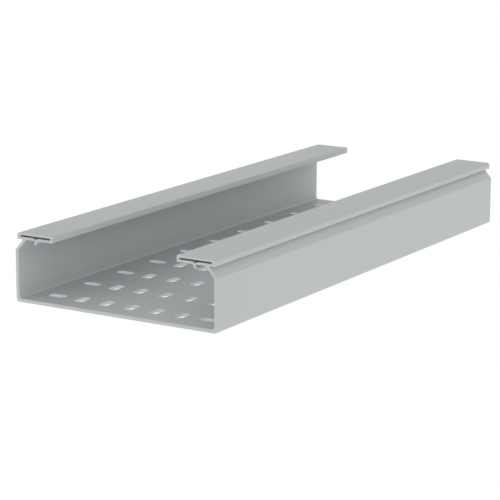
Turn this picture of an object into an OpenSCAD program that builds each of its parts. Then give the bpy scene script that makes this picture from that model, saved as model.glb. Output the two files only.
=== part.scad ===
// Perforated cable tray: one cut length of an extruded section, open at both ends.
// X runs across the tray, Y along it and Z up. The origin lies on the underside,
// midway between the walls and midway along the length. All sizes are in millimetres.

/* [Tray] */
// Length of the cut piece
tray_length = 500; // [100:50:3000]
// Width over the two side walls
tray_width = 200; // [150:5:400]
// Height from the underside to the top of the rims
tray_height = 60; // [50:1:110]

/* [Base and walls] */
// Thickness of the base
base_thick = 3; // [2:0.1:4]
// Thickness of the side walls
wall_thick = 3; // [2:0.1:4]
// Outside radius where the base turns up into a wall
corner_r = 3; // [1:0.5:6]
// Inside radius between the base and a wall
root_r = 2.5; // [0.5:0.5:4]

/* [Shoulders] */
// Thickness of the sloping shoulders
shoulder_thick = 2.5; // [1.5:0.1:3.5]
// Height of a shoulder, from the top of its wall to the rim
shoulder_height = 9.2; // [7:0.1:14]
// How far a shoulder leans in from the face of its wall
shoulder_inset = 8; // [5:0.1:11]

/* [Rims] */
// Width of a rim
rim_width = 36.5; // [30:0.5:50]
// How far the rim's outer edge stands in from the face of its wall
rim_inset = 2; // [0.5:0.1:4]
// Radius of the rim's top outer edge
rim_nose_r = 3; // [1:0.1:3.5]
// Radius of the rim's other edges
rim_edge_r = 1; // [0.4:0.1:1.4]

/* [Chamber in each rim] */
// Height of the chamber
chamber_height = 1.5; // [1:0.1:2.5]
// Thickness of the rim above the chamber
chamber_roof = 2.1; // [1.5:0.1:3]
// Thickness of the rim below the chamber
chamber_floor = 2.2; // [1.8:0.1:3]
// Thickness of the rim outboard of the chamber
chamber_outer_wall = 3.2; // [2:0.1:4]
// Thickness of the rim inboard of the chamber
chamber_inner_wall = 2.3; // [1.5:0.1:4]

/* [Hooked lip under each rim] */
// From the face of the wall to the middle of the lip's root
lip_setback = 22; // [16:0.5:26]
// How far the lip reaches below the rim
lip_drop = 3.6; // [2.5:0.1:6]
// Thickness of the lip
lip_thick = 2.4; // [1.5:0.1:3]
// Lean of the lip towards its wall, in degrees from upright
lip_lean = 28; // [0:1:40]
// Depth of the V groove above the lip, in the floor of the chamber
groove_depth = 1.4; // [0.5:0.1:1.5]
// Width of the V groove
groove_width = 4.6; // [2:0.1:6]

/* [Perforation] */
// Length of a slot, end to end
slot_length = 17; // [12:0.5:24]
// Width of a slot
slot_width = 9; // [4:0.5:10]
// Spacing of the columns of slots across the base
column_pitch = 25; // [20:1:50]
// Spacing of the rows of slots along the base
row_pitch = 50; // [30:1:100]
// From the face of a wall to the middle of the nearest column
slot_margin = 25; // [20:1:40]

/* [Hidden] */
$fn = 48;
// How far a cutting shape runs past what it cuts
over = 1;
half_width = tray_width / 2;
// The rim
rim_height = chamber_roof + chamber_height + chamber_floor;
rim_z = tray_height - rim_height;
rim_outer_x = half_width - rim_inset;
rim_inner_x = rim_outer_x - rim_width;
// The shoulder, and the line of its inner face
kink_z = rim_z - shoulder_height;
neck_x = half_width - shoulder_inset;
shoulder_angle = atan(shoulder_inset / shoulder_height);
inner_wall_x = half_width - wall_thick;
inner_neck_x = neck_x - shoulder_thick / cos(shoulder_angle);
inner_kink_z = rim_z - (inner_wall_x - inner_neck_x) / tan(shoulder_angle);
// The chamber
chamber_z = rim_z + chamber_floor;
chamber_outer_x = rim_outer_x - chamber_outer_wall;
chamber_inner_x = rim_inner_x + chamber_inner_wall;
// The lip
lip_x = half_width - lip_setback;
lip_tip_r = lip_thick / 2;
lip_reach = (lip_drop - lip_tip_r) / cos(lip_lean);
// The groove, whose tip lies on the line of the leaning lip
groove_tip_x = lip_x - (chamber_floor - groove_depth) * tan(lip_lean);
// The perforation
outer_column_x = half_width - slot_margin;
inner_columns = floor(outer_column_x / column_pitch) - 1;
row_count = floor(tray_length / row_pitch);

// What a round of radius r takes off a square corner that points to +X and down
module corner_waste(r) {
    difference() {
        translate([-r, -over])
            square([r + over, r + over]);
        translate([-r, r])
            circle(r);
    }
}

// Rectangle from its lower left to its upper right corner, with one radius for the
// edge at its upper right and another for the other three
module rim_blank(low, high, nose_r, edge_r) {
    difference() {
        translate(low)
            square(high - low);
        translate([high[0], low[1]])
            corner_waste(edge_r);
        translate(low)
            mirror([1, 0])
                corner_waste(edge_r);
        translate([low[0], high[1]])
            rotate(180)
                corner_waste(edge_r);
        translate(high)
            mirror([0, 1])
                corner_waste(nose_r);
    }
}

// Right half of the base, wall and shoulder as a solid outline
module channel_outside() {
    difference() {
        polygon([
            [0, 0],
            [half_width, 0],
            [half_width, kink_z],
            [neck_x, rim_z],
            [neck_x, rim_z + chamber_floor / 2],
            [0, rim_z + chamber_floor / 2]
        ]);
        translate([half_width, 0])
            corner_waste(corner_r);
    }
}

// Right half of the space between the walls, up to the underside of the rim
module channel_inside() {
    difference() {
        polygon([
            [-over, base_thick],
            [inner_wall_x, base_thick],
            [inner_wall_x, inner_kink_z],
            [inner_neck_x, rim_z],
            [inner_neck_x, tray_height],
            [-over, tray_height]
        ]);
        translate([inner_wall_x, base_thick])
            corner_waste(root_r);
    }
}

// Flat rim with a rounded nose, before its chamber is cut
module rim() {
    rim_blank([rim_inner_x, rim_z], [rim_outer_x, tray_height], rim_nose_r, rim_edge_r);
}

// Lip that hangs from the rim and leans towards the wall, with a round tip
module lip() {
    translate([lip_x, rim_z])
        rotate(lip_lean) {
            translate([-lip_thick / 2, -lip_reach])
                square([lip_thick, lip_reach + chamber_floor / 2]);
            translate([0, -lip_reach])
                circle(lip_tip_r);
        }
}

// Flat chamber with round ends
module chamber() {
    end_r = chamber_height / 2;
    translate([chamber_inner_x + end_r, chamber_z])
        square([chamber_outer_x - chamber_inner_x - chamber_height, chamber_height]);
    for (x = [chamber_inner_x + end_r, chamber_outer_x - end_r])
        translate([x, chamber_z + end_r])
            circle(end_r);
}

// V groove with its steep side over the root of the lip
module groove() {
    polygon([
        [groove_tip_x, chamber_z - groove_depth],
        [groove_tip_x + groove_width, chamber_z],
        [groove_tip_x + groove_width, chamber_z + chamber_height / 2],
        [groove_tip_x, chamber_z + chamber_height / 2]
    ]);
}

// Right half of the extruded section
module half_section() {
    difference() {
        union() {
            difference() {
                channel_outside();
                channel_inside();
            }
            rim();
            lip();
        }
        chamber();
        groove();
    }
}

// Slot with round ends, long in X
module slot() {
    straight = slot_length - slot_width;
    square([straight, slot_width], center = true);
    for (side = [-1, 1])
        translate([side * straight / 2, 0])
            circle(slot_width / 2);
}

// One row of slots: those beside the walls lie across the tray and the rest lie along it
module slot_row() {
    for (side = [-1, 1])
        translate([side * outer_column_x, 0])
            slot();
    for (column = [-inner_columns:inner_columns])
        translate([column * column_pitch, 0])
            rotate(90)
                slot();
}

// The whole pattern of slots, centred on the base
module perforation() {
    for (row = [0:row_count - 1])
        translate([0, (row - (row_count - 1) / 2) * row_pitch])
            slot_row();
}

// The tray: its section run out along Y, and the slots cut through its base
module tray() {
    color("#bbc0bf")
        difference() {
            translate([0, tray_length / 2, 0])
                rotate([90, 0, 0])
                    linear_extrude(tray_length) {
                        half_section();
                        mirror([1, 0])
                            half_section();
                    }
            translate([0, 0, -over])
                linear_extrude(base_thick + 2 * over)
                    perforation();
        }
}

tray();
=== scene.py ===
"""Looks of a perforated cable tray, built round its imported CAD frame.

The tray is one cut length of extruded rigid PVC. Geometry Nodes run its section out
along Y and punch the rows of slots through its base, and three finishes dress it: the
skin that the die leaves, the sawn ends and the punched edges of the slots.
"""

import logging
import math
from dataclasses import dataclass
from enum import Enum

import bpy
from mathutils import Matrix, Vector


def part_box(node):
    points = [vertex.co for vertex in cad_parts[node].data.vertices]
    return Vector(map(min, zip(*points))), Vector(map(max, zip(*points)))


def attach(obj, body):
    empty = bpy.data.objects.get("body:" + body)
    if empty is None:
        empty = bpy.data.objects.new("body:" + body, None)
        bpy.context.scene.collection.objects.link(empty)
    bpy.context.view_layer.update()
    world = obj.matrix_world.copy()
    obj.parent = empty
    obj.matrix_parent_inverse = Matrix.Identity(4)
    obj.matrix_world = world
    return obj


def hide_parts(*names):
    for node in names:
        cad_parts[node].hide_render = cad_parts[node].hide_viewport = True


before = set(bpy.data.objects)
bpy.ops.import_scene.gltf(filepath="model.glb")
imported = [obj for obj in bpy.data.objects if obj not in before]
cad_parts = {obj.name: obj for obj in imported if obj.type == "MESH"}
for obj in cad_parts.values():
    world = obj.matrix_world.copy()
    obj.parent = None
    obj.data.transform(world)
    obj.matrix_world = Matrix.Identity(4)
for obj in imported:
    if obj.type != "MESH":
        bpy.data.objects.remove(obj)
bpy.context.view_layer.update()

MM = 0.001
WHITE = "#FFFFFF"
# A Mix node's colour sockets go by number, because its other sockets share their names.
MIX_FIRST, MIX_SECOND, MIX_RESULT = 6, 7, 2
LOG = logging.getLogger("cable_tray")

Point = tuple[float, float]
Socket = bpy.types.NodeSocket
Setting = Socket | list[Socket] | float | tuple | Vector


def linear(colour: str) -> tuple[float, float, float, float]:
    """Turn an sRGB hex colour into the linear colour that a node takes.

    Args:
        colour: The colour as "#RRGGBB".

    Returns:
        Linear red, green and blue, and an alpha of 1.
    """
    shares = [int(colour[start:start + 2], 16) / 255 for start in (1, 3, 5)]
    low_end, offset, slope, power = 0.04045, 0.055, 12.92, 2.4
    red, green, blue = (
        s / slope if s <= low_end else ((s + offset) / (1 + offset)) ** power for s in shares
    )
    return red, green, blue, 1.0


def add_node(
    tree: bpy.types.NodeTree,
    kind: str,
    inputs: dict[str | int, Setting] | None = None,
    **settings: object,
) -> bpy.types.Node:
    """Add a node to a tree, with its settings, its values and its links.

    Args:
        tree: The tree that gets the node.
        kind: Blender's name for the kind of node.
        inputs: For each input, by name or number, its value, the output linked to it, or a
            list of the outputs that are all linked to it.
        **settings: The node's own properties.

    Returns:
        The new node.
    """
    node = tree.nodes.new(kind)
    for name, value in settings.items():
        setattr(node, name, value)
    for key, value in (inputs or {}).items():
        outputs = value if isinstance(value, list) else [value]
        if isinstance(outputs[0], Socket):
            for output in outputs:
                tree.links.new(output, node.inputs[key])
        else:
            node.inputs[key].default_value = value
    return node


def empty_material(name: str) -> tuple[bpy.types.Material, bpy.types.NodeTree]:
    """Make a material with no nodes.

    Args:
        name: The material's name.

    Returns:
        The material and its node tree.
    """
    material = bpy.data.materials.new(name)
    material.use_nodes = True
    material.node_tree.nodes.clear()
    return material, material.node_tree


class Grain(Enum):
    """The way that the marks on a face run, as the axis that they follow."""

    ALONG_TRAY = Vector((0, 1, 0))
    ACROSS_TRAY = Vector((1, 0, 0))
    UPRIGHT = Vector((0, 0, 1))


@dataclass(frozen=True)
class RigidPvc:
    """Rigid PVC, filled light grey all through, so only the tool marks differ, apart from the
    punched walls, whose paler colour is partly painted light.

    Attributes:
        name: The material's name.
        colour: The plastic's colour.
        cloud_colour: What the colour drifts towards in soft clouds.
        roughness: Roughness between the marks.
        roughness_swing: How much the marks change the roughness.
        grain: The way that the marks run.
        mark_spacing: Distance between marks, in metres.
        mark_length: Length of a mark, in metres.
        mark_height: Height of the marks, in metres.
        pit_size: Size of the fine pits between the marks, in metres.
        pit_depth: Depth of the pits, in metres.
        cloud_size: Size of the soft clouds, in metres.
        cloud_detail: Number of finer layers in the clouds.
        mark_detail: Number of finer layers in the marks and in the pits.
        ior: Index of refraction of rigid PVC.
    """

    name: str
    colour: str
    cloud_colour: str
    roughness: float
    roughness_swing: float
    grain: Grain
    mark_spacing: float
    mark_length: float
    mark_height: float
    pit_size: float
    pit_depth: float
    cloud_size: float = 90 * MM
    cloud_detail: float = 3.0
    mark_detail: float = 2.0
    ior: float = 1.54

    def mark_scale(self) -> Vector:
        """Give the pattern's scale: slow along the marks and quick across them."""
        along, across = 1 / self.mark_length, 1 / self.mark_spacing
        return Vector(along if share else across for share in self.grain.value)

    def material(self) -> bpy.types.Material:
        """Build the material.

        Returns:
            A material whose patterns are fixed to the object.
        """
        material, tree = empty_material(self.name)
        place = add_node(tree, "ShaderNodeTexCoord").outputs["Object"]
        clouds = add_node(
            tree, "ShaderNodeTexNoise",
            {"Vector": place, "Scale": 1 / self.cloud_size, "Detail": self.cloud_detail},
        ).outputs["Fac"]
        colour = add_node(
            tree, "ShaderNodeMix",
            {
                "Factor": clouds,
                MIX_FIRST: linear(self.colour),
                MIX_SECOND: linear(self.cloud_colour),
            },
            data_type="RGBA",
        ).outputs[MIX_RESULT]
        stretched = add_node(
            tree, "ShaderNodeMapping", {"Vector": place, "Scale": self.mark_scale()},
        ).outputs["Vector"]
        marks = add_node(
            tree, "ShaderNodeTexNoise",
            {"Vector": stretched, "Scale": 1.0, "Detail": self.mark_detail},
        ).outputs["Fac"]
        pits = add_node(
            tree, "ShaderNodeTexNoise",
            {"Vector": place, "Scale": 1 / self.pit_size, "Detail": self.mark_detail},
        ).outputs["Fac"]
        roughness = add_node(
            tree, "ShaderNodeMapRange",
            {
                "Value": marks,
                "To Min": self.roughness - self.roughness_swing,
                "To Max": self.roughness + self.roughness_swing,
            },
        ).outputs["Result"]
        marked = add_node(
            tree, "ShaderNodeBump", {"Height": marks, "Distance": self.mark_height},
        ).outputs["Normal"]
        pitted = add_node(
            tree, "ShaderNodeBump",
            {"Height": pits, "Distance": self.pit_depth, "Normal": marked},
        ).outputs["Normal"]
        plastic = add_node(
            tree, "ShaderNodeBsdfPrincipled",
            {"Base Color": colour, "Roughness": roughness, "IOR": self.ior, "Normal": pitted},
        ).outputs["BSDF"]
        add_node(tree, "ShaderNodeOutputMaterial", {"Surface": plastic})
        return material


# Extruded rigid PVC: the die's polish leaves a smooth, matt skin with faint lines that run
# the whole length. Real ones are about 0.3 mm apart, and they are drawn 2 mm apart to show.
EXTRUDED_SKIN = RigidPvc(
    name="rigid_pvc_extruded",
    colour="#BFC3C4",
    cloud_colour="#BBBFC0",
    roughness=0.55,
    roughness_swing=0.05,
    grain=Grain.ALONG_TRAY,
    mark_spacing=2 * MM,
    mark_length=700 * MM,
    mark_height=0.05 * MM,
    pit_size=0.8 * MM,
    pit_depth=0.01 * MM,
)

# Sawn rigid PVC: the blade crosses the section level, and its teeth leave fine scores
# and a drier, slightly paler face. Scores of 0.2 mm are drawn 0.7 mm apart to show.
SAWN_FACE = RigidPvc(
    name="rigid_pvc_sawn",
    colour="#C2C6C7",
    cloud_colour="#BDC1C2",
    roughness=0.65,
    roughness_swing=0.08,
    grain=Grain.ACROSS_TRAY,
    mark_spacing=0.7 * MM,
    mark_length=25 * MM,
    mark_height=0.03 * MM,
    pit_size=0.5 * MM,
    pit_depth=0.008 * MM,
)

# Punched rigid PVC: the punch shears the base, which leaves upright drag lines and turns
# the plastic paler where it was strained. The pale colour is partly that whitening and partly
# painted light: it stands in for the light that comes up through the slots onto their walls.
# The lines are drawn 0.6 mm apart to show.
PUNCHED_FACE_STRAIN_AND_PAINTED_LIGHT = RigidPvc(
    name="rigid_pvc_punched",
    # Paler than the skin: partly strain whitening, partly painted light for the slots' lit walls.
    colour="#D0D4D5",
    cloud_colour="#C8CCCD",
    roughness=0.6,
    roughness_swing=0.08,
    grain=Grain.UPRIGHT,
    mark_spacing=0.6 * MM,
    mark_length=6 * MM,
    mark_height=0.03 * MM,
    pit_size=0.5 * MM,
    pit_depth=0.006 * MM,
)


@dataclass(frozen=True)
class Corner:
    """A corner of an outline: its place across and up, and its radius."""

    x: float
    z: float
    radius: float = 0.0

    def place(self) -> Vector:
        """Give the sharp corner's place."""
        return Vector((self.x, self.z))

    def rounded(self, before: "Corner", after: "Corner", step: float) -> list[Vector]:
        """Turn the corner into the points of its arc.

        Args:
            before: The corner that the outline comes from.
            after: The corner that it goes on to.
            step: The largest turn from one point to the next, in radians.

        Returns:
            The arc's points in order, or the corner itself if it is sharp.
        """
        corner = self.place()
        if not self.radius:
            return [corner]
        back = (before.place() - corner).normalized()
        ahead = (after.place() - corner).normalized()
        half_angle = back.angle(ahead) / 2
        centre = corner + (back + ahead).normalized() * self.radius / math.sin(half_angle)
        start = corner + back * self.radius / math.tan(half_angle) - centre
        turn = math.copysign(math.pi - 2 * half_angle, ahead.cross(back))
        count = max(1, math.ceil(abs(turn) / step))
        return [centre + Matrix.Rotation(turn * i / count, 2) @ start for i in range(count + 1)]


def rounded_outline(corners: list[Corner], step: float = math.radians(7.5)) -> list[Point]:
    """Round the corners of a closed outline.

    Args:
        corners: The corners in order round the outline.
        step: The largest turn from one point of an arc to the next, in radians.

    Returns:
        The outline's points in order, with no point twice.
    """
    points: list[Vector] = []
    for number, corner in enumerate(corners):
        after = corners[(number + 1) % len(corners)]
        points += corner.rounded(corners[number - 1], after, step)
    nearest = 1e-6
    return [tuple(p) for p, q in zip(points, points[1:] + points[:1]) if (p - q).length > nearest]


@dataclass(frozen=True)
class TraySection:
    """The extruded section, in metres, mirrored about the middle of the tray.

    Its sizes carry the names and values of the part's source, apart from the last two,
    which are too fine for it.

    Attributes:
        width: Width over the two walls, from the frame.
        height: Height to the top of the rims, from the frame.
        base_thick: Thickness of the base.
        wall_thick: Thickness of the side walls.
        corner_r: Outside radius where the base turns up into a wall.
        root_r: Inside radius between the base and a wall.
        shoulder_thick: Thickness of the sloping shoulders.
        shoulder_height: Height of a shoulder, from the top of its wall to the rim.
        shoulder_inset: How far a shoulder leans in from the face of its wall.
        rim_width: Width of a rim.
        rim_inset: How far a rim's outer edge stands in from the face of its wall.
        rim_nose_r: Radius of a rim's top outer edge.
        rim_edge_r: Radius of a rim's other edges.
        chamber_height: Height of the chamber in a rim.
        chamber_roof: Thickness of the rim above the chamber.
        chamber_floor: Thickness of the rim below the chamber.
        chamber_outer_wall: Thickness of the rim outboard of the chamber.
        chamber_inner_wall: Thickness of the rim inboard of the chamber.
        lip_setback: From the face of the wall to the middle of the lip's root.
        lip_drop: How far the lip reaches below the rim.
        lip_thick: Thickness of the lip.
        lip_lean: Lean of the lip towards its wall, in radians.
        groove_depth: Depth of the V groove above the lip, in the chamber's floor.
        groove_width: Width of the V groove.
        kink_r: Radius that the die leaves where a wall bends into its shoulder.
        die_r: Radius that the die leaves where a shoulder or a lip meets the rim.
    """

    width: float
    height: float
    base_thick: float = 3 * MM
    wall_thick: float = 3 * MM
    corner_r: float = 3 * MM
    root_r: float = 2.5 * MM
    shoulder_thick: float = 2.5 * MM
    shoulder_height: float = 9.2 * MM
    shoulder_inset: float = 8 * MM
    rim_width: float = 36.5 * MM
    rim_inset: float = 2 * MM
    rim_nose_r: float = 3 * MM
    rim_edge_r: float = 1 * MM
    chamber_height: float = 1.5 * MM
    chamber_roof: float = 2.1 * MM
    chamber_floor: float = 2.2 * MM
    chamber_outer_wall: float = 3.2 * MM
    chamber_inner_wall: float = 2.3 * MM
    lip_setback: float = 22 * MM
    lip_drop: float = 3.6 * MM
    lip_thick: float = 2.4 * MM
    lip_lean: float = math.radians(28)
    groove_depth: float = 1.4 * MM
    groove_width: float = 4.6 * MM
    kink_r: float = 1 * MM
    die_r: float = 0.4 * MM

    @property
    def half_width(self) -> float:
        """Distance from the middle to the face of a wall."""
        return self.width / 2

    @property
    def rim_z(self) -> float:
        """Height of the underside of the rims."""
        return self.height - self.chamber_roof - self.chamber_height - self.chamber_floor

    @property
    def rim_outer_x(self) -> float:
        """Distance from the middle to the outer edge of a rim."""
        return self.half_width - self.rim_inset

    @property
    def rim_inner_x(self) -> float:
        """Distance from the middle to the inner edge of a rim."""
        return self.rim_outer_x - self.rim_width

    @property
    def lip_x(self) -> float:
        """Distance from the middle to the root of a lip."""
        return self.half_width - self.lip_setback

    def lip_corners(self) -> list[Corner]:
        """Work out the right lip's corners.

        Returns:
            The corners, from the lip's inner root round its tip to its outer root.
        """
        lean = self.lip_lean
        half = self.lip_thick / 2
        root = Vector((self.lip_x, self.rim_z))
        down = Vector((math.sin(lean), -math.cos(lean)))
        outboard = Vector((math.cos(lean), math.sin(lean)))
        tip = root + down * ((self.lip_drop - half) / math.cos(lean) + half)
        root_half = half / math.cos(lean)
        return [
            Corner(self.lip_x - root_half, self.rim_z, self.die_r),
            Corner(*(tip - outboard * half), half),
            Corner(*(tip + outboard * half), half),
            Corner(self.lip_x + root_half, self.rim_z, self.die_r),
        ]

    def right_corners(self) -> list[Corner]:
        """Work out the corners of the section's right half.

        Returns:
            The corners, from the underside up the wall and round the rim to the floor.
        """
        neck_x = self.half_width - self.shoulder_inset
        slope = math.atan2(self.shoulder_inset, self.shoulder_height)
        inner_wall_x = self.half_width - self.wall_thick
        inner_neck_x = neck_x - self.shoulder_thick / math.cos(slope)
        inner_kink_z = self.rim_z - (inner_wall_x - inner_neck_x) / math.tan(slope)
        return [
            Corner(self.half_width, 0, self.corner_r),
            Corner(self.half_width, self.rim_z - self.shoulder_height, self.kink_r),
            Corner(neck_x, self.rim_z, self.die_r),
            Corner(self.rim_outer_x, self.rim_z, self.rim_edge_r),
            Corner(self.rim_outer_x, self.height, self.rim_nose_r),
            Corner(self.rim_inner_x, self.height, self.rim_edge_r),
            Corner(self.rim_inner_x, self.rim_z, self.rim_edge_r),
            *self.lip_corners(),
            Corner(inner_neck_x, self.rim_z, self.die_r),
            Corner(inner_wall_x, inner_kink_z, self.kink_r),
            Corner(inner_wall_x, self.base_thick, self.root_r),
        ]

    def chamber_corners(self) -> list[Corner]:
        """Work out the corners of the right rim's chamber.

        Returns:
            The corners, with the groove in the chamber's floor among them.
        """
        low = self.rim_z + self.chamber_floor
        high = low + self.chamber_height
        inner_x = self.rim_inner_x + self.chamber_inner_wall
        outer_x = self.rim_outer_x - self.chamber_outer_wall
        tip_x = self.lip_x - (self.chamber_floor - self.groove_depth) * math.tan(self.lip_lean)
        end_r = self.chamber_height / 2
        return [
            Corner(inner_x, high, end_r),
            Corner(inner_x, low, end_r),
            Corner(tip_x, low),
            Corner(tip_x, low - self.groove_depth),
            Corner(tip_x + self.groove_width, low),
            Corner(outer_x, low, end_r),
            Corner(outer_x, high, end_r),
        ]

    def outlines(self) -> list[list[Point]]:
        """Work out the section's closed outlines.

        Returns:
            The outside, and the chamber in each rim.
        """
        right = self.right_corners()
        left = [Corner(-c.x, c.z, c.radius) for c in reversed(right)]
        chamber = rounded_outline(self.chamber_corners())
        return [rounded_outline(right + left), chamber, [(-x, z) for x, z in reversed(chamber)]]

    def outline_mesh(self) -> bpy.types.Mesh:
        """Draw the outlines as edges, flat in X and Y, where Geometry Nodes fill curves.

        Returns:
            A mesh of closed loops of edges.
        """
        vertices: list[tuple[float, float, float]] = []
        edges: list[tuple[int, int]] = []
        for outline in self.outlines():
            first = len(vertices)
            count = len(outline)
            vertices += [(x, z, 0.0) for x, z in outline]
            edges += [(first + i, first + (i + 1) % count) for i in range(count)]
        mesh = bpy.data.meshes.new("tray_outline")
        mesh.from_pydata(vertices, edges, [])
        return mesh


@dataclass(frozen=True)
class Perforation:
    """The pattern of slots in the base, in metres.

    Attributes:
        length: Length of the tray, from the frame.
        width: Width of the tray, from the frame.
        slot_length: Length of a slot, end to end.
        slot_width: Width of a slot.
        column_pitch: Spacing of the columns across the base.
        row_pitch: Spacing of the rows along the base.
        margin: From the face of a wall to the middle of the nearest column.
        arc_points: Points on each rounded quarter of a slot.
        decimals: Decimals that are kept before whole pitches are counted.
    """

    length: float
    width: float
    slot_length: float = 17 * MM
    slot_width: float = 9 * MM
    column_pitch: float = 25 * MM
    row_pitch: float = 50 * MM
    margin: float = 25 * MM
    arc_points: int = 8
    decimals: int = 6

    def whole_pitches(self, distance: float, pitch: float) -> int:
        """Count the whole pitches in a distance."""
        return math.floor(round(distance / pitch, self.decimals))

    @property
    def edge_spacing(self) -> float:
        """Distance between the two outermost columns."""
        return self.width - 2 * self.margin

    @property
    def middle_columns(self) -> int:
        """Number of columns between the outermost two, with one on the middle line."""
        return 2 * (self.whole_pitches(self.edge_spacing / 2, self.column_pitch) - 1) + 1

    @property
    def rows(self) -> int:
        """Number of rows along the tray."""
        return self.whole_pitches(self.length, self.row_pitch)


class TreeBuilder:
    """A Geometry Nodes tree with named inputs, and the values that its modifier sets.

    Attributes:
        same_point: Points nearer than this are merged, in metres.
        tree: The tree.
        values: The value of each input, by the identifier of its socket.
    """

    same_point: float = 0.001 * MM

    def __init__(self, name: str) -> None:
        """Start a tree that takes a geometry and gives one.

        Args:
            name: The tree's name.
        """
        self.tree = bpy.data.node_groups.new(name, "GeometryNodeTree")
        self.values: dict[str, object] = {}
        for way in ("INPUT", "OUTPUT"):
            self.tree.interface.new_socket("Geometry", in_out=way, socket_type="NodeSocketGeometry")

    def declare(self, kind: str, **values: object) -> None:
        """Add named inputs of one kind, with the values that the modifier sets.

        Args:
            kind: Blender's name for the kind of socket.
            **values: The value for each input, by its name with low lines for spaces.
        """
        for key, value in values.items():
            name = key.replace("_", " ").capitalize()
            socket = self.tree.interface.new_socket(name, in_out="INPUT", socket_type=kind)
            self.values[socket.identifier] = value

    def prism(self, curve: Socket, depth: Socket) -> Socket:
        """Fill a flat curve and run it up into a closed solid.

        Args:
            curve: A closed curve in X and Y, with any holes in it.
            depth: How far the solid rises.

        Returns:
            The solid's mesh.
        """
        floor = add_node(
            self.tree, "GeometryNodeFillCurve", {"Curve": curve}, mode="NGONS",
        ).outputs[0]
        raised = add_node(
            self.tree, "GeometryNodeExtrudeMesh",
            {"Mesh": floor, "Offset Scale": depth, "Individual": False},
        ).outputs["Mesh"]
        flipped = add_node(self.tree, "GeometryNodeFlipFaces", {"Mesh": floor}).outputs[0]
        closed = add_node(self.tree, "GeometryNodeJoinGeometry", {0: [raised, flipped]}).outputs[0]
        return add_node(
            self.tree, "GeometryNodeMergeByDistance",
            {"Geometry": closed, "Distance": self.same_point},
        ).outputs[0]

    def spread(self, count: Socket, pitch: Socket) -> Socket:
        """Work out how far it is from the first to the last of some even places.

        Args:
            count: Number of places.
            pitch: Distance from one place to the next.

        Returns:
            The distance from the first to the last.
        """
        gaps = add_node(self.tree, "ShaderNodeMath", {0: count, 1: 1.0}, operation="SUBTRACT")
        return add_node(
            self.tree, "ShaderNodeMath", {0: gaps.outputs[0], 1: pitch}, operation="MULTIPLY",
        ).outputs[0]

    def attach(self, piece: bpy.types.Object) -> None:
        """Give the tree to a piece as a modifier, with its inputs set.

        Args:
            piece: The object that the tree works on.
        """
        modifier = piece.modifiers.new(self.tree.name, "NODES")
        modifier.node_group = self.tree
        for identifier, value in self.values.items():
            modifier[identifier] = value


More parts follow.
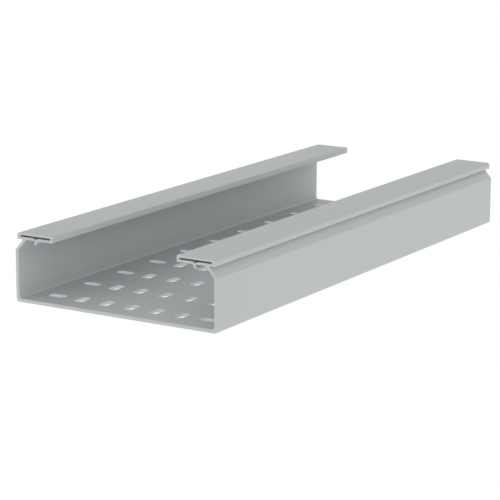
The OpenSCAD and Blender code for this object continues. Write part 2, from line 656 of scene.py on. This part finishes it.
@dataclass
class PerforatedTray:
    """The tray itself: its section run out, its slots punched and its edges eased.

    Attributes:
        section: The extruded section.
        perforation: The slots.
        edge_ease: Width of the rounding on the sawn and punched edges, in metres.
        ease_segments: Number of faces across that rounding.
        sharp_edge: The least turn between two faces that makes their edge sharp, in radians.
        flat_weight: How far large faces outweigh small ones in the shading, up to 100.
        upright: A face counts as upright while its normal rises or falls by less than this.
        hair: How far a face may be off the plane that it belongs to, in metres.
        skin: Finish that the die leaves.
        sawn_face: Finish of the two ends.
        punched_face: Finish of the slots' walls, paler partly from strain and partly as painted
            light.
    """

    section: TraySection
    perforation: Perforation
    edge_ease: float = 0.25 * MM
    ease_segments: int = 2
    sharp_edge: float = math.radians(60)
    flat_weight: int = 100
    upright: float = 0.5
    hair: float = 0.01 * MM
    skin: RigidPvc = EXTRUDED_SKIN
    sawn_face: RigidPvc = SAWN_FACE
    punched_face: RigidPvc = PUNCHED_FACE_STRAIN_AND_PAINTED_LIGHT

    @classmethod
    def from_box(cls, low: Vector, high: Vector) -> "PerforatedTray":
        """Size the tray from the corners of its CAD solid.

        Args:
            low: The solid's lowest corner.
            high: The solid's highest corner.

        Returns:
            A tray that fills that box.
        """
        size = high - low
        return cls(TraySection(size.x, size.z), Perforation(size.y, size.x))

    def section_solid(self, builder: TreeBuilder, inputs: bpy.types.Node) -> Socket:
        """Run the section out along Y, centred on the origin.

        Args:
            builder: The tree that gets the nodes.
            inputs: The tree's input node.

        Returns:
            The solid's mesh, before the slots are punched.
        """
        tree = builder.tree
        outline = inputs.outputs["Geometry"]
        length = inputs.outputs["Length"]
        curve = add_node(tree, "GeometryNodeMeshToCurve", {"Mesh": outline}).outputs[0]
        half = add_node(tree, "ShaderNodeMath", {0: length, 1: 2.0}, operation="DIVIDE").outputs[0]
        place = add_node(tree, "ShaderNodeCombineXYZ", {"Y": half}).outputs[0]
        return add_node(
            tree, "GeometryNodeTransform",
            {
                "Geometry": builder.prism(curve, length),
                "Translation": place,
                "Rotation": (math.pi / 2, 0, 0),
            },
        ).outputs[0]

    def slot_punch(self, builder: TreeBuilder, inputs: bpy.types.Node) -> Socket:
        """Make the punch for one slot, long in X, that passes through the base.

        Args:
            builder: The tree that gets the nodes.
            inputs: The tree's input node.

        Returns:
            The punch's mesh.
        """
        tree = builder.tree
        width = inputs.outputs["Slot width"]
        base = inputs.outputs["Base thickness"]
        # The punch's height and lowest point, as multiples of the base's thickness
        rise, start = 3.0, -1.0
        height = add_node(tree, "ShaderNodeMath", {0: base, 1: rise}, operation="MULTIPLY")
        below = add_node(tree, "ShaderNodeMath", {0: base, 1: start}, operation="MULTIPLY")
        radius = add_node(tree, "ShaderNodeMath", {0: width, 1: 2.0}, operation="DIVIDE")
        box = add_node(
            tree, "GeometryNodeCurvePrimitiveQuadrilateral",
            {"Width": inputs.outputs["Slot length"], "Height": width},
        ).outputs[0]
        rounded = add_node(
            tree, "GeometryNodeFilletCurve",
            {
                "Curve": box,
                "Count": inputs.outputs["Arc points"],
                "Radius": radius.outputs[0],
                "Limit Radius": True,
            },
            mode="POLY",
        ).outputs[0]
        solid = builder.prism(rounded, height.outputs[0])
        place = add_node(tree, "ShaderNodeCombineXYZ", {"Z": below.outputs[0]}).outputs[0]
        return add_node(
            tree, "GeometryNodeTransform", {"Geometry": solid, "Translation": place},
        ).outputs[0]

    def slot_field(
        self,
        builder: TreeBuilder,
        inputs: bpy.types.Node,
        punch: Socket,
        spread: Socket,
        columns: Setting,
        turn: float,
    ) -> Socket:
        """Stand a punch on every crossing of some columns with all the rows.

        Args:
            builder: The tree that gets the nodes.
            inputs: The tree's input node.
            punch: The punch's mesh.
            spread: Distance from the first column to the last.
            columns: Number of columns.
            turn: How far each punch is turned about Z, in radians.

        Returns:
            The punches as instances.
        """
        rows = inputs.outputs["Rows"]
        reach = builder.spread(rows, inputs.outputs["Row pitch"])
        grid = add_node(
            builder.tree, "GeometryNodeMeshGrid",
            {"Size X": spread, "Size Y": reach, "Vertices X": columns, "Vertices Y": rows},
        ).outputs["Mesh"]
        return add_node(
            builder.tree, "GeometryNodeInstanceOnPoints",
            {"Points": grid, "Instance": punch, "Rotation": (0, 0, turn)},
        ).outputs[0]

    def sawn_faces(self, tree: bpy.types.NodeTree, inputs: bpy.types.Node) -> Socket:
        """Find the faces of the two sawn ends.

        Args:
            tree: The tree that gets the nodes.
            inputs: The tree's input node.

        Returns:
            1 on those faces and 0 on the others.
        """
        place = add_node(tree, "GeometryNodeInputPosition").outputs[0]
        y = add_node(tree, "ShaderNodeSeparateXYZ", {0: place}).outputs["Y"]
        distance = add_node(tree, "ShaderNodeMath", {0: y}, operation="ABSOLUTE").outputs[0]
        limit = add_node(
            tree, "ShaderNodeMath",
            {0: inputs.outputs["Length"], 1: 0.5, 2: -self.hair}, operation="MULTIPLY_ADD",
        ).outputs[0]
        return add_node(
            tree, "ShaderNodeMath", {0: distance, 1: limit}, operation="GREATER_THAN",
        ).outputs[0]

    def punched_faces(self, tree: bpy.types.NodeTree, inputs: bpy.types.Node) -> Socket:
        """Find the walls of the slots: upright faces in the base, within the slots' reach.

        Args:
            tree: The tree that gets the nodes.
            inputs: The tree's input node.

        Returns:
            1 on those faces and 0 on the others.
        """
        place = add_node(tree, "GeometryNodeInputPosition").outputs[0]
        x, _, z = add_node(tree, "ShaderNodeSeparateXYZ", {0: place}).outputs
        normal = add_node(tree, "GeometryNodeInputNormal").outputs[0]
        slope = add_node(tree, "ShaderNodeSeparateXYZ", {0: normal}).outputs["Z"]
        reach = add_node(
            tree, "ShaderNodeMath",
            {0: inputs.outputs["Edge spacing"], 1: inputs.outputs["Slot length"]},
            operation="ADD",
        ).outputs[0]
        half_reach = add_node(
            tree, "ShaderNodeMath", {0: reach, 1: 0.5, 2: self.hair}, operation="MULTIPLY_ADD",
        ).outputs[0]
        found: Setting = 1.0
        limits = ((x, half_reach), (z, inputs.outputs["Base thickness"]), (slope, self.upright))
        for value, limit in limits:
            size = add_node(tree, "ShaderNodeMath", {0: value}, operation="ABSOLUTE").outputs[0]
            small = add_node(
                tree, "ShaderNodeMath", {0: size, 1: limit}, operation="LESS_THAN",
            ).outputs[0]
            found = add_node(
                tree, "ShaderNodeMath", {0: found, 1: small}, operation="MULTIPLY",
            ).outputs[0]
        return found

    def dress(self, tree: bpy.types.NodeTree, inputs: bpy.types.Node, mesh: Socket) -> None:
        """End the tree: make the mesh real and give each face its finish.

        Args:
            tree: The tree that gets the nodes.
            inputs: The tree's input node.
            mesh: The punched tray.
        """
        smooth = add_node(tree, "GeometryNodeSetShadeSmooth", {"Geometry": mesh}).outputs[0]
        real = add_node(tree, "GeometryNodeRealizeInstances", {"Geometry": smooth}).outputs[0]
        faces = {
            "Skin": True,
            "Punched face": self.punched_faces(tree, inputs),
            "Sawn face": self.sawn_faces(tree, inputs),
        }
        for finish, chosen in faces.items():
            real = add_node(
                tree, "GeometryNodeSetMaterial",
                {"Geometry": real, "Selection": chosen, "Material": inputs.outputs[finish]},
            ).outputs[0]
        add_node(tree, "NodeGroupOutput", {0: real})

    def build_tree(self) -> TreeBuilder:
        """Build the whole Geometry Nodes tree.

        Returns:
            The tree with its inputs named and valued.
        """
        holes = self.perforation
        builder = TreeBuilder("perforated_extrusion")
        builder.declare(
            "NodeSocketFloat",
            length=holes.length,
            base_thickness=self.section.base_thick,
            slot_length=holes.slot_length,
            slot_width=holes.slot_width,
            edge_spacing=holes.edge_spacing,
            column_pitch=holes.column_pitch,
            row_pitch=holes.row_pitch,
        )
        builder.declare(
            "NodeSocketInt",
            rows=holes.rows, middle_columns=holes.middle_columns, arc_points=holes.arc_points,
        )
        builder.declare(
            "NodeSocketMaterial",
            skin=self.skin.material(),
            sawn_face=self.sawn_face.material(),
            punched_face=self.punched_face.material(),
        )

        inputs = add_node(builder.tree, "NodeGroupInput")
        edge_spacing, pitch, middle_columns = (
            inputs.outputs[name] for name in ("Edge spacing", "Column pitch", "Middle columns")
        )
        punch = self.slot_punch(builder, inputs)
        across = self.slot_field(builder, inputs, punch, edge_spacing, columns=2, turn=0.0)
        middle = builder.spread(middle_columns, pitch)
        along = self.slot_field(
            builder, inputs, punch, middle, columns=middle_columns, turn=math.pi / 2,
        )
        cut = add_node(
            builder.tree, "GeometryNodeMeshBoolean",
            {0: self.section_solid(builder, inputs), 1: [across, along]},
            operation="DIFFERENCE", solver="EXACT",
        ).outputs[0]
        self.dress(builder.tree, inputs, cut)
        return builder

    def ease_edges(self, piece: bpy.types.Object) -> None:
        """Round the sawn and punched edges, and shade flat faces flat up to them.

        Args:
            piece: The object whose evaluated mesh has the sharp edges.
        """
        bevel = piece.modifiers.new("eased_edges", "BEVEL")
        bevel.width = self.edge_ease
        bevel.segments = self.ease_segments
        bevel.limit_method = "ANGLE"
        bevel.angle_limit = self.sharp_edge
        bevel.use_clamp_overlap = False
        bevel.loop_slide = False
        weigh = piece.modifiers.new("flat_faces", "WEIGHTED_NORMAL")
        weigh.mode = "FACE_AREA"
        weigh.weight = self.flat_weight

    def build(self) -> bpy.types.Object:
        """Build the tray as a plain mesh that stands for its CAD solid.

        Returns:
            The finished piece, at the origin, with its place in its mesh.
        """
        draft = bpy.data.objects.new("tray_draft", self.section.outline_mesh())
        bpy.context.scene.collection.objects.link(draft)
        self.build_tree().attach(draft)
        self.ease_edges(draft)
        evaluated = draft.evaluated_get(bpy.context.evaluated_depsgraph_get())
        mesh = bpy.data.meshes.new_from_object(evaluated)
        mesh.name = "perforated_tray"
        bpy.data.objects.remove(draft)
        # The outline had no material, which can leave an empty slot before the three others.
        if mesh.materials[0] is None:
            mesh.materials.pop(index=0)
        piece = bpy.data.objects.new("perforated_tray", mesh)
        bpy.context.scene.collection.objects.link(piece)
        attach(piece, "root")
        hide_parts("tray")
        return piece


@dataclass(frozen=True)
class PhotoCamera:
    """The camera that took the photograph, worked out from the tray's edges in it.

    Attributes:
        azimuth: Degrees round the tray; 0 looks along +Y.
        elevation: Degrees above the horizon.
        roll: Degrees that the camera leans to its left.
        place: Where the camera stands, in metres.
        frame_px: Width and height of the photograph, in pixels.
        focal_px: Focal length, in the same pixels.
        sensor: Width of the camera's sensor, in millimetres.
        far_limit: How far the camera sees, in metres.
    """

    azimuth: float = 31.6037
    elevation: float = 12.7913
    roll: float = 0.1664
    place: tuple[float, float, float] = (0.99479, -1.65509, 0.44680)
    frame_px: float = 500.0
    focal_px: float = 2170.63
    sensor: float = 36.0
    far_limit: float = 50.0

    def build(self) -> bpy.types.Object:
        """Set the camera up and make it the scene's own.

        Returns:
            The camera object.
        """
        lens = bpy.data.cameras.new("photo_camera")
        lens.sensor_fit = "HORIZONTAL"
        lens.sensor_width = self.sensor
        lens.lens = self.focal_px / self.frame_px * self.sensor
        lens.clip_end = self.far_limit
        camera = bpy.data.objects.new("photo_camera", lens)
        bpy.context.scene.collection.objects.link(camera)
        camera.location = self.place
        turn = Matrix.Rotation(math.radians(self.azimuth), 3, "Z")
        tilt = Matrix.Rotation(math.radians(90 - self.elevation), 3, "X")
        lean = Matrix.Rotation(math.radians(self.roll), 3, "Z")
        camera.rotation_euler = (turn @ tilt @ lean).to_euler()
        bpy.context.scene.camera = camera
        return camera


@dataclass(frozen=True)
class Studio:
    """White light tent that stands on a light table, whose glass is lit evenly from below.

    Attributes:
        floor_size: Width of the square floor, in metres.
        floor_gap: How far the floor lies below the tray, so that no two faces share a plane.
        glass_colour: The colour of the table's glass, which sends little of the tent's light back.
        glass_glow: Strength of the light that comes up through the glass.
        paper_colour: The colour of the paper that the camera sees on the floor.
        paper_glow: Strength of the light that comes up through that paper.
        shadow_share: How much of the paper's real shading the camera sees.
        wall_level: Strength of the tent's light at the horizon.
        roof_level: Strength of the tent's light overhead.
    """

    floor_size: float = 30.0
    floor_gap: float = 0.1 * MM
    glass_colour: str = "#3F3F3F"
    glass_glow: float = 0.9
    paper_colour: str = "#BCBCBC"
    paper_glow: float = 0.66
    shadow_share: float = 0.15
    wall_level: float = 1.275
    roof_level: float = 0.44

    def seen_directly(self, tree: bpy.types.NodeTree) -> Socket:
        """Give 1 for rays from the camera or a mirror or glass, and 0 for light on the tray.

        Args:
            tree: The tree that gets the nodes.

        Returns:
            The output that holds the answer.
        """
        path = add_node(tree, "ShaderNodeLightPath").outputs
        seen = path["Is Camera Ray"]
        for ray in ("Is Glossy Ray", "Is Transmission Ray"):
            seen = add_node(
                tree, "ShaderNodeMath", {0: seen, 1: path[ray]}, operation="MAXIMUM",
            ).outputs[0]
        return seen

    def glowing(self, tree: bpy.types.NodeTree, colour: str, glow: float) -> Socket:
        """Give a matt surface that light also comes up through.

        Args:
            tree: The tree that gets the nodes.
            colour: The surface's colour.
            glow: Strength of the light that comes through.

        Returns:
            The surface's shader.
        """
        matt = add_node(tree, "ShaderNodeBsdfDiffuse", {"Color": linear(colour)}).outputs[0]
        light = add_node(
            tree, "ShaderNodeEmission", {"Color": linear(WHITE), "Strength": glow},
        ).outputs[0]
        return add_node(tree, "ShaderNodeAddShader", {0: matt, 1: light}).outputs[0]

    def light_table(self) -> bpy.types.Material:
        """Build the floor's material, which looks white and is clear from below.

        Returns:
            A material that lights the tray as glass does and shows the camera paper.
        """
        material, tree = empty_material("light_table")
        glass = self.glowing(tree, self.glass_colour, self.glass_glow)
        paper = self.glowing(tree, self.paper_colour, self.paper_glow)
        white = add_node(tree, "ShaderNodeEmission", {"Color": linear(WHITE)}).outputs[0]
        seen = add_node(
            tree, "ShaderNodeMixShader", {0: self.shadow_share, 1: white, 2: paper},
        ).outputs[0]
        top = add_node(
            tree, "ShaderNodeMixShader", {0: self.seen_directly(tree), 1: glass, 2: seen},
        ).outputs[0]
        clear = add_node(tree, "ShaderNodeBsdfTransparent").outputs[0]
        from_below = add_node(tree, "ShaderNodeNewGeometry").outputs["Backfacing"]
        shown = add_node(
            tree, "ShaderNodeMixShader", {0: from_below, 1: top, 2: clear},
        ).outputs[0]
        add_node(tree, "ShaderNodeOutputMaterial", {"Surface": shown})
        # The floor glows evenly as far as it reaches, so every ray that leaves the tray
        # downwards finds its light, and nothing has to aim at it.
        material.cycles.emission_sampling = "NONE"
        return material

    def build_floor(self) -> None:
        """Lay the square floor just below the tray."""
        half = self.floor_size / 2
        mesh = bpy.data.meshes.new("studio_floor")
        sides = ((-half, -half), (half, -half), (half, half), (-half, half))
        mesh.from_pydata([(x, y, -self.floor_gap) for x, y in sides], [], [(0, 1, 2, 3)])
        mesh.materials.append(self.light_table())
        floor = bpy.data.objects.new("studio_floor", mesh)
        bpy.context.scene.collection.objects.link(floor)

    def build_tent(self) -> None:
        """Light the tray from the tent, whose walls outshine its roof, before pure white."""
        world = bpy.data.worlds.new("light_tent")
        world.use_nodes = True
        tree = world.node_tree
        tree.nodes.clear()
        way = add_node(tree, "ShaderNodeTexCoord").outputs["Generated"]
        height = add_node(tree, "ShaderNodeSeparateXYZ", {0: way}).outputs["Z"]
        strength = add_node(
            tree, "ShaderNodeMapRange",
            {"Value": height, "To Min": self.wall_level, "To Max": self.roof_level},
        ).outputs["Result"]
        light = add_node(
            tree, "ShaderNodeBackground", {"Color": linear(WHITE), "Strength": strength},
        ).outputs[0]
        white = add_node(tree, "ShaderNodeBackground", {"Color": linear(WHITE)}).outputs[0]
        shown = add_node(
            tree, "ShaderNodeMixShader", {0: self.seen_directly(tree), 1: light, 2: white},
        ).outputs[0]
        add_node(tree, "ShaderNodeOutputWorld", {"Surface": shown})
        bpy.context.scene.world = world

    def build(self) -> None:
        """Lay the floor and light the tent."""
        self.build_floor()
        self.build_tent()


def main() -> None:
    """Build the camera, the tray and the studio, and report the camera and the tray."""
    logging.basicConfig(level=logging.INFO, format="%(name)s: %(message)s")
    bpy.context.scene.view_settings.view_transform = "Standard"
    camera = PhotoCamera().build()
    LOG.info("camera %s at %s", camera.name, tuple(camera.location))
    tray = PerforatedTray.from_box(*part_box("tray"))
    piece = tray.build()
    LOG.info("piece %s with %d faces", piece.name, len(piece.data.polygons))
    Studio().build()
    LOG.info("studio built and sizes written")


if __name__ == "__main__":
    main()
